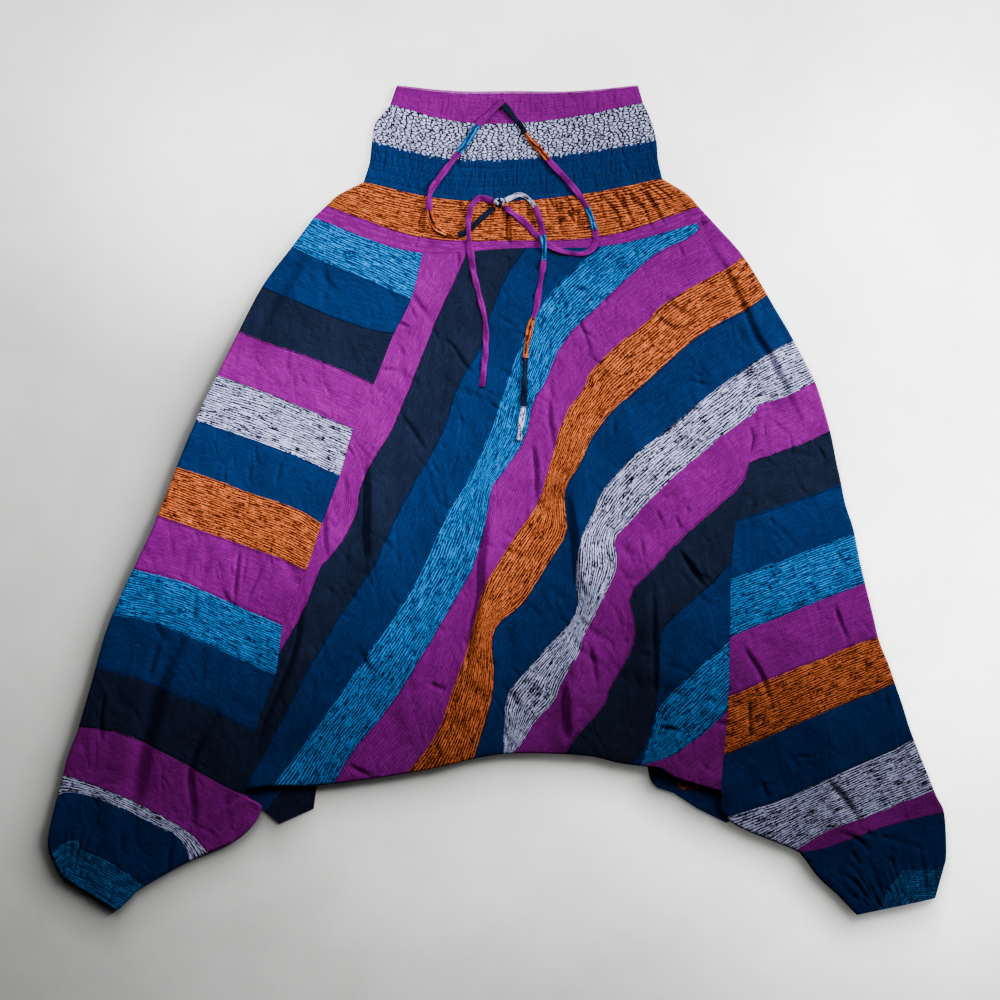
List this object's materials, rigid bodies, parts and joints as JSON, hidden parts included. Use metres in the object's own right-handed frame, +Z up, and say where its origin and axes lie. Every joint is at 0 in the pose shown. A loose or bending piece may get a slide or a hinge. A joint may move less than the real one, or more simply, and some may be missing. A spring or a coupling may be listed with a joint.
{
  "type": "harem pants laid flat",
  "caption": "Striped drop-crotch harem pants laid flat, front up, with a smocked waist, gathered hip band, leg panels with elastic hems and a tied drawstring.",
  "frame": {"origin": "on the surface the trousers lie on, under the middle of the cloth's box, without the drawstring", "axes": "+X across the trousers, to the viewer's right from above, +Y from the crotch up to the waist, +Z up, off the surface"},
  "size_m": [1.0773, 0.996, 0.0203],
  "materials": {
    "casing_cloth": "matt magenta woven viscose",
    "smocked_cloth": "matt woven viscose, a speckled white stripe over a deep blue one, shirred",
    "hip_cloth": "matt woven viscose, a streaked orange stripe over a magenta one, gathered",
    "body_cloth": "matt woven viscose with broad slanting stripes of magenta, navy, blue, turquoise, orange and white",
    "leg_cloth": "matt woven viscose with broad cross stripes of turquoise, blue, navy, magenta, white and orange",
    "cuff_cloth": "matt woven viscose, deep blue with turquoise flecks, gathered on elastic",
    "tie_cloth": "narrow folded tie of the same striped cloth, mostly magenta"
  },
  "bodies": {
    "root": {"waist_casing": "casing_cloth", "waistband_smocked": "smocked_cloth", "hip_band": "hip_cloth", "body_front": "body_cloth", "body_back": "body_cloth", "leg_panel_left": "leg_cloth", "leg_panel_right": "leg_cloth", "cuff_left": "cuff_cloth", "cuff_right": "cuff_cloth", "tie_loop_left": "tie_cloth", "tie_loop_right": "tie_cloth", "tie_end_left": "tie_cloth", "tie_end_right": "tie_cloth", "drawstring_knot": "tie_cloth"}
  },
  "joints": []
}
